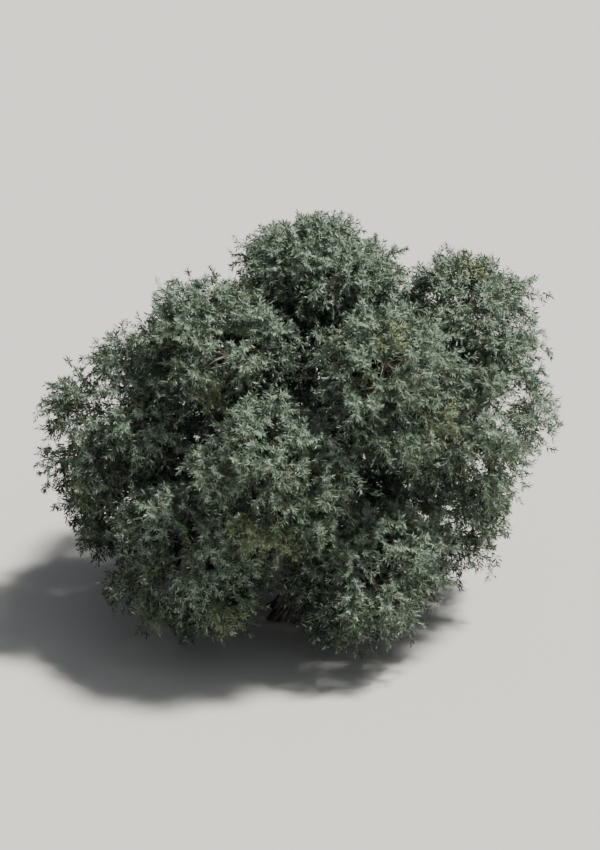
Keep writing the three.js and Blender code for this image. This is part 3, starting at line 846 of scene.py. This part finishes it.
def tones_of_shoots(spray, end, keys, count, place):
    """A tone for each shoot, as painted light and shade: paler as it stands out of its dome and its
    mass to the light and out of the crown, deeper as it turns away and in, spread a little at random.

    place says which of each tone's shares counts: 0 for the outer sprays, 1 for the inner."""
    middle = spray["root"] + spray["way"] * DOME["middle"] * spray["length"][:, None]
    out = unit(end - np.repeat(middle, count, axis=0))
    from_mass = unit(end - np.repeat(spray["mass_at"], count, axis=0))
    outward = unit(end - CROWN_HEART)
    # painted light and shade: the more a shoot turns to the light and out of the crown, the paler
    painted_light = out @ LIT_WAY + 0.6 * from_mass @ LIT_WAY + 0.5 * np.sum(out * outward, axis=1)
    clump = np.repeat(spray["clump"], count)
    spread = 0.4 * either(clump, 73) + 0.3 * either(keys // SHOOT_KEYS, 74) + 0.15 * either(keys, 75)
    order = np.argsort(np.argsort(painted_light + spread))
    ends = np.cumsum([shares[place] for *_, shares in LEAF_TONES])
    tone = np.searchsorted(ends / ends[-1] * len(order), order, side="right")
    return np.minimum(tone, len(LEAF_TONES) - 1)


def tones_of_leaves(leaves, shoot_tone):
    """Each leaf's tone: its shoot's, one deeper near its twig's foot as painted shade, or the silvery one."""
    tone = shoot_tone[leaves["shoot"]]
    # painted shade: leaves near their twig's foot go one tone deeper
    tone = np.where(leaves["is_near_foot"] & (tone < YOUNGEST), np.maximum(tone - 1, DEEP), tone)
    tone[leaves["is_silver"]] = SILVERY
    return tone


def make_foliage(masses, limbs, beads, twig_bark, shoot_bark):
    """Every stem, twig, shoot and leaf, in place of the fifteen masses."""
    nodes = [
        "top_foliage" if mass["tier"] == "top" else mass["name"].replace("_", "_foliage_")
        for mass in masses
    ]

    def settle(piece):
        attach(piece, "root")
        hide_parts(*nodes)

    twigs, outer, inner = [], [], []
    for mass in masses:
        outward = unit(mass["centre"] - CROWN_HEART)
        ways = ways_round(outward, SPRAYS, CAP, mass["seed"], 5)
        twigs.append(twigs_of(mass, ways[1::3]))
        outer.append(outer_sprays(mass, ways, twigs[-1], beads))
        inner.append(inner_sprays(mass, outward, twigs[-1], beads))
    woody = stem_and_twigs(masses, limbs, twigs)
    settle(piece_from("stems_and_twigs", *woody, twig_bark, smooth=True))

    outer, inner = gathered(outer), gathered([*inner, limb_sprays(limbs, beads)])
    outer_shoots, leaves, end, keys = grow(outer, OUTER_GROWTH)
    inner_shoots, inner_leaves, inner_end, inner_keys = grow(inner, INNER_GROWTH)
    settle(piece_from("outer_shoots", *outer_shoots, shoot_bark))
    settle(piece_from("inner_shoots", *inner_shoots, shoot_bark))

    shoot_tone = tones_of_shoots(outer, end, keys, OUTER_GROWTH["shoots"], 0)
    shoot_tone[chance(keys // SHOOT_KEYS, 76) < YOUNG_SPRAYS] = YOUNGEST
    # the inner shoots' tones, deeper on the whole as painted shade inside the crown
    inner_tone = tones_of_shoots(inner, inner_end, inner_keys, INNER_GROWTH["shoots"], 1)
    tone = np.concatenate([tones_of_leaves(leaves, shoot_tone), inner_tone[inner_leaves["shoot"]]])
    leaves = gathered([leaves, inner_leaves])
    for number, (name, colour, roughness, *_) in enumerate([*LEAF_TONES, YOUNG, SILVER]):
        material = leaf_material(name, colour, roughness)
        chosen = np.flatnonzero(tone == number)
        parts = math.ceil(len(chosen) / LEAVES_A_PIECE)
        for part, rows in enumerate(np.array_split(chosen, parts), start=1):
            blades = leaf_blades({key: values[rows] for key, values in leaves.items()})
            settle(piece_from(f"leaves_{name}_{part}", *blades, material))


# Materials

LICHEN = (0.4, 0.4, 0.34)


class Maths:
    """A socket with the operators that an expression needs, each adding its Math node."""

    def __init__(self, maker, socket):
        self.maker = maker
        self.socket = socket

    def _with(self, operation, a, b):
        return self.maker.node("ShaderNodeMath", {"operation": operation}, {0: a, 1: b})

    def __add__(self, other):
        return self._with("ADD", self, other)

    def __radd__(self, other):
        return self._with("ADD", other, self)

    def __sub__(self, other):
        return self._with("SUBTRACT", self, other)

    def __rsub__(self, other):
        return self._with("SUBTRACT", other, self)

    def __mul__(self, other):
        return self._with("MULTIPLY", self, other)

    def __rmul__(self, other):
        return self._with("MULTIPLY", other, self)


class Maker:
    """A material and one way to add any node to it."""

    def __init__(self, name):
        self.material = bpy.data.materials.new(name)
        self.material.use_nodes = True
        self.tree = self.material.node_tree
        self.shader = self.tree.nodes["Principled BSDF"]

    def node(self, kind, settings=None, inputs=None, output=0):
        """Adds a node, sets it, feeds its sockets, and gives back one of its outputs."""
        made = self.tree.nodes.new(kind)
        for key, value in (settings or {}).items():
            if key == "stops":
                self._set_stops(made.color_ramp, value)
            else:
                setattr(made, key, value)
        self.feed(made, inputs or {})
        return Maths(self, made.outputs[output])

    def feed(self, node, inputs):
        for key, value in inputs.items():
            socket = node.inputs[key]
            if isinstance(value, Maths):
                self.tree.links.new(value.socket, socket)
            else:
                socket.default_value = value

    @staticmethod
    def _set_stops(ramp, stops):
        while len(ramp.elements) < len(stops):
            ramp.elements.new(0.5)
        for element, (place, colour) in zip(ramp.elements, stops):
            element.position = place
            element.color = (*colour, 1)


def leaf_material(name, colour, roughness):
    """Leaves of one tone: one plain colour with a leathery gloss."""
    maker = Maker(f"olive_leaves_{name}")
    maker.feed(maker.shader, {"Base Color": (*colour, 1), "Roughness": roughness, "Specular IOR Level": 0.35})
    return maker.material


def plain_material(name, colour, roughness):
    """One plain colour, for the floor and for the fine shoots."""
    maker = Maker(name)
    maker.feed(maker.shader, {"Base Color": (*colour, 1), "Roughness": roughness})
    return maker.material


def bark_material(name, dark, mid, light, grain_scale, depth):
    """Olive bark: grey fibrous plates, pale lichen, and furrows darker where the relief has them,
    partly the bark's own colour there and partly painted shade.
    """
    maker = Maker(name)
    grain = maker.node("ShaderNodeAttribute", {"attribute_name": "grain"}, output=1)
    furrow = maker.node("ShaderNodeAttribute", {"attribute_name": "furrow"}, output=2)
    stretched = maker.node("ShaderNodeMapping", {}, {0: grain, 3: (1, 1, 0.16)})
    fibres = maker.node(
        "ShaderNodeTexNoise", {}, {"Vector": stretched, "Scale": grain_scale, "Detail": 6, "Roughness": 0.65}
    )
    flakes = maker.node(
        "ShaderNodeTexNoise", {},
        {"Vector": grain, "Scale": 0.4 * grain_scale, "Detail": 4, "Roughness": 0.55},
    )
    patches = maker.node("ShaderNodeTexNoise", {}, {"Vector": grain, "Scale": 6.5, "Detail": 4})
    height = 0.5 * fibres + 0.3 * flakes + 0.2 * (1 - furrow)
    # darker in the furrows: partly the bark's own colour there, partly painted shade
    shade = 0.55 * fibres + 0.45 * flakes - 0.3 * furrow
    stops = ((0.2, dark), (0.42, mid), (0.62, light))
    colour = maker.node("ShaderNodeValToRGB", {"stops": stops}, {0: shade})
    lichen = maker.node("ShaderNodeMapRange", {}, {0: patches, 1: 0.54, 2: 0.66, 3: 0.0, 4: 0.5})
    mixed = maker.node(
        "ShaderNodeMix", {"data_type": "RGBA"},
        {0: lichen * (1 - furrow), 6: colour, 7: (*LICHEN, 1)}, output=2,
    )
    bump = maker.node("ShaderNodeBump", {}, {"Height": height, "Strength": 0.7, "Distance": depth})
    roughness = 0.84 + 0.12 * furrow
    maker.feed(maker.shader, {
        "Base Color": mixed, "Roughness": roughness, "Normal": bump, "Specular IOR Level": 0.2,
    })
    return maker.material


def twig_material(name, dark, light):
    """Smooth young bark: grey, mottled in patches a hand's breadth long."""
    maker = Maker(name)
    place = maker.node("ShaderNodeTexCoord", output=3)
    mottle = maker.node(
        "ShaderNodeTexNoise", {}, {"Vector": place, "Scale": 14, "Detail": 4, "Roughness": 0.6}
    )
    colour = maker.node("ShaderNodeValToRGB", {"stops": ((0.35, dark), (0.65, light))}, {0: mottle})
    maker.feed(maker.shader, {"Base Color": colour, "Roughness": 0.8})
    return maker.material


# Stage

VIEW_ELEVATION = 25  # degrees above the ground, as the photograph looks down on the trees
VIEW_DISTANCE = 100
VIEW_HEIGHT = 2.8  # what the camera looks at
PHOTO = (600, 850)
TREE_SPAN = 0.88  # of the picture's width


def make_camera():
    """A long lens from the photograph's side and height, on the middle of the tree."""
    data = bpy.data.cameras.new("camera")
    picture_width = CROWN_WIDTH / TREE_SPAN
    data.sensor_width = 36
    data.lens = data.sensor_width * VIEW_DISTANCE / (picture_width * PHOTO[1] / PHOTO[0])
    data.clip_end = 1000
    camera = bpy.data.objects.new("camera", data)
    elevation = math.radians(VIEW_ELEVATION)
    back = Vector((0, -math.cos(elevation), math.sin(elevation)))
    camera.location = Vector((0, 0, VIEW_HEIGHT)) + back * VIEW_DISTANCE
    camera.rotation_euler = (-back).to_track_quat("-Z", "Y").to_euler()
    bpy.context.scene.collection.objects.link(camera)
    bpy.context.scene.camera = camera


def make_light(name, azimuth, elevation, strength, softness, colour):
    """A sun from a bearing (0 is the camera's side, 90 its right) and a height in degrees."""
    data = bpy.data.lights.new(name, "SUN")
    data.energy = strength
    data.angle = math.radians(softness)
    data.color = colour
    light = bpy.data.objects.new(name, data)
    a, e = math.radians(azimuth), math.radians(elevation)
    towards = Vector((math.sin(a) * math.cos(e), -math.cos(a) * math.cos(e), math.sin(e)))
    light.rotation_euler = towards.to_track_quat("Z", "Y").to_euler()
    bpy.context.scene.collection.objects.link(light)


def make_stage():
    """A wide pale floor, and a pale sky that lights the shadows."""
    corners = 64
    angle = 2 * math.pi * np.arange(corners) / corners
    rim = np.stack([400 * np.cos(angle), 400 * np.sin(angle), 0 * angle], -1)
    around = np.arange(corners)
    fan = np.stack([np.zeros(corners, int), around + 1, (around + 1) % corners + 1], -1)
    floor_finish = plain_material("pale_floor", (0.62, 0.61, 0.58), 0.9)
    floor = piece_from("floor", np.concatenate([[[0, 0, 0]], rim]), fan, floor_finish)
    world = bpy.data.worlds.new("studio")
    world.use_nodes = True
    background = world.node_tree.nodes["Background"]
    background.inputs["Color"].default_value = (0.86, 0.9, 1.0, 1)
    background.inputs["Strength"].default_value = 0.19
    bpy.context.scene.world = world
    make_light("key", 88, 64, 6.9, 9, (1.0, 0.97, 0.91))
    make_light("fill", 30, 50, 0.25, 60, (0.9, 0.95, 1.0))


masses = masses_of_crown()
limbs = limbs_of_crown(masses)
old_bark = bark_material(
    "old_olive_bark", (0.04, 0.034, 0.029), (0.165, 0.15, 0.128), (0.33, 0.31, 0.275), 42, 0.008
)
young_bark = bark_material(
    "young_olive_bark", (0.07, 0.063, 0.054), (0.2, 0.187, 0.163), (0.35, 0.335, 0.3), 70, 0.004
)
make_trunk(old_bark)
for number, limb in enumerate(limbs):
    make_limb(limb, number, old_bark if limb["form"] is SCAFFOLD else young_bark)
twig_bark = twig_material("twig_bark", (0.15, 0.138, 0.115), (0.27, 0.255, 0.22))
shoot_bark = plain_material("shoot_bark", (0.24, 0.235, 0.17), 0.75)
make_foliage(masses, limbs, limb_beads(limbs), twig_bark, shoot_bark)
make_stage()
make_camera()
